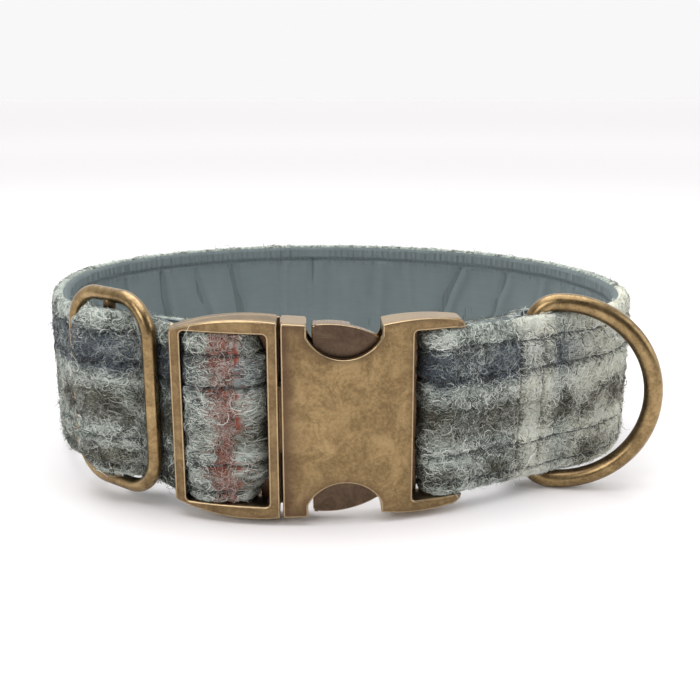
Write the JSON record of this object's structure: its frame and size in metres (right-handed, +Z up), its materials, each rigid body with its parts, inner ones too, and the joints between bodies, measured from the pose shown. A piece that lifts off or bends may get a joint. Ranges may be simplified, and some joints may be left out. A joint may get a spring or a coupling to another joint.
{
  "type": "adjustable dog collar",
  "caption": "Wide fabric dog collar standing in a ring, with a contoured two-latch release buckle, a tri-glide adjuster and a swinging D-ring.",
  "frame": {"origin": "the axis of the neck opening, at the height of the table that the collar stands on, 64 mm before the strap's outermost point at the back", "axes": "+X to the viewer's right when looking at the buckle, +Y from the buckle towards the back of the collar, +Z up along the neck axis"},
  "size_m": [0.1595, 0.1312, 0.0535],
  "materials": {
    "tweed": "hairy wool tweed in sage, slate, brown and rust",
    "webbing": "flat woven webbing",
    "lining": "plain cotton, slate grey-green",
    "thread": "sewing thread",
    "brass": "antique brass plate, worn at the edges",
    "dark_brass": "dark bronze plate",
    "steel": "plain steel"
  },
  "bodies": {
    "right_half": {"tweed_right": "tweed", "webbing_right": "webbing", "lining_right": "lining", "face_stitching_right": "thread", "hem_stitching_right": "thread", "pocket_stitching": "thread", "female_body": "brass"},
    "left_half": {"tweed_left": "tweed", "webbing_left": "webbing", "lining_left": "lining", "face_stitching_left": "thread", "hem_stitching_left": "thread", "return_tab": "webbing", "tab_stitching": "thread", "male_frame": "brass", "latch_pin_upper": "steel", "latch_pin_lower": "steel", "latch_spring_upper": "steel", "latch_spring_lower": "steel"},
    "latch_upper": {"latch_upper": "dark_brass"},
    "latch_lower": {"latch_lower": "dark_brass"},
    "d_ring": {"d_ring": "brass"},
    "tri_glide": {"tri_glide": "brass"}
  },
  "joints": [
    {"name": "collar_open", "type": "hinge", "parent": "right_half", "child": "left_half", "pos_m": [0, 0.06425, 0.0254], "axis": [0, 0, -1], "range_deg": [0, 65], "deforming": ["latch_upper", "latch_lower"]},
    {"name": "latch_upper_press", "type": "hinge", "parent": "left_half", "child": "latch_upper", "pos_m": [0.0125, -0.06215, 0.0397], "axis": [0, -1, 0], "range_deg": [0, 14], "stiffness_Nm_per_rad": 0.02, "springref_deg": -11.46, "deforming": ["latch_spring_upper"]},
    {"name": "latch_lower_press", "type": "hinge", "parent": "left_half", "child": "latch_lower", "pos_m": [0.0125, -0.06215, 0.0111], "axis": [0, 1, 0], "range_deg": [0, 14], "stiffness_Nm_per_rad": 0.02, "springref_deg": -11.46, "deforming": ["latch_spring_lower"]},
    {"name": "d_ring_swing", "type": "hinge", "parent": "right_half", "child": "d_ring", "pos_m": [0.0534, -0.04444, 0.0254], "axis": [0, 0, -1], "range_deg": [-3, 108]},
    {"name": "tri_glide_rock", "type": "hinge", "parent": "left_half", "child": "tri_glide", "pos_m": [-0.0497, -0.0463, 0.0254], "axis": [0, 0, 1], "range_deg": [-2, 2]}
  ]
}
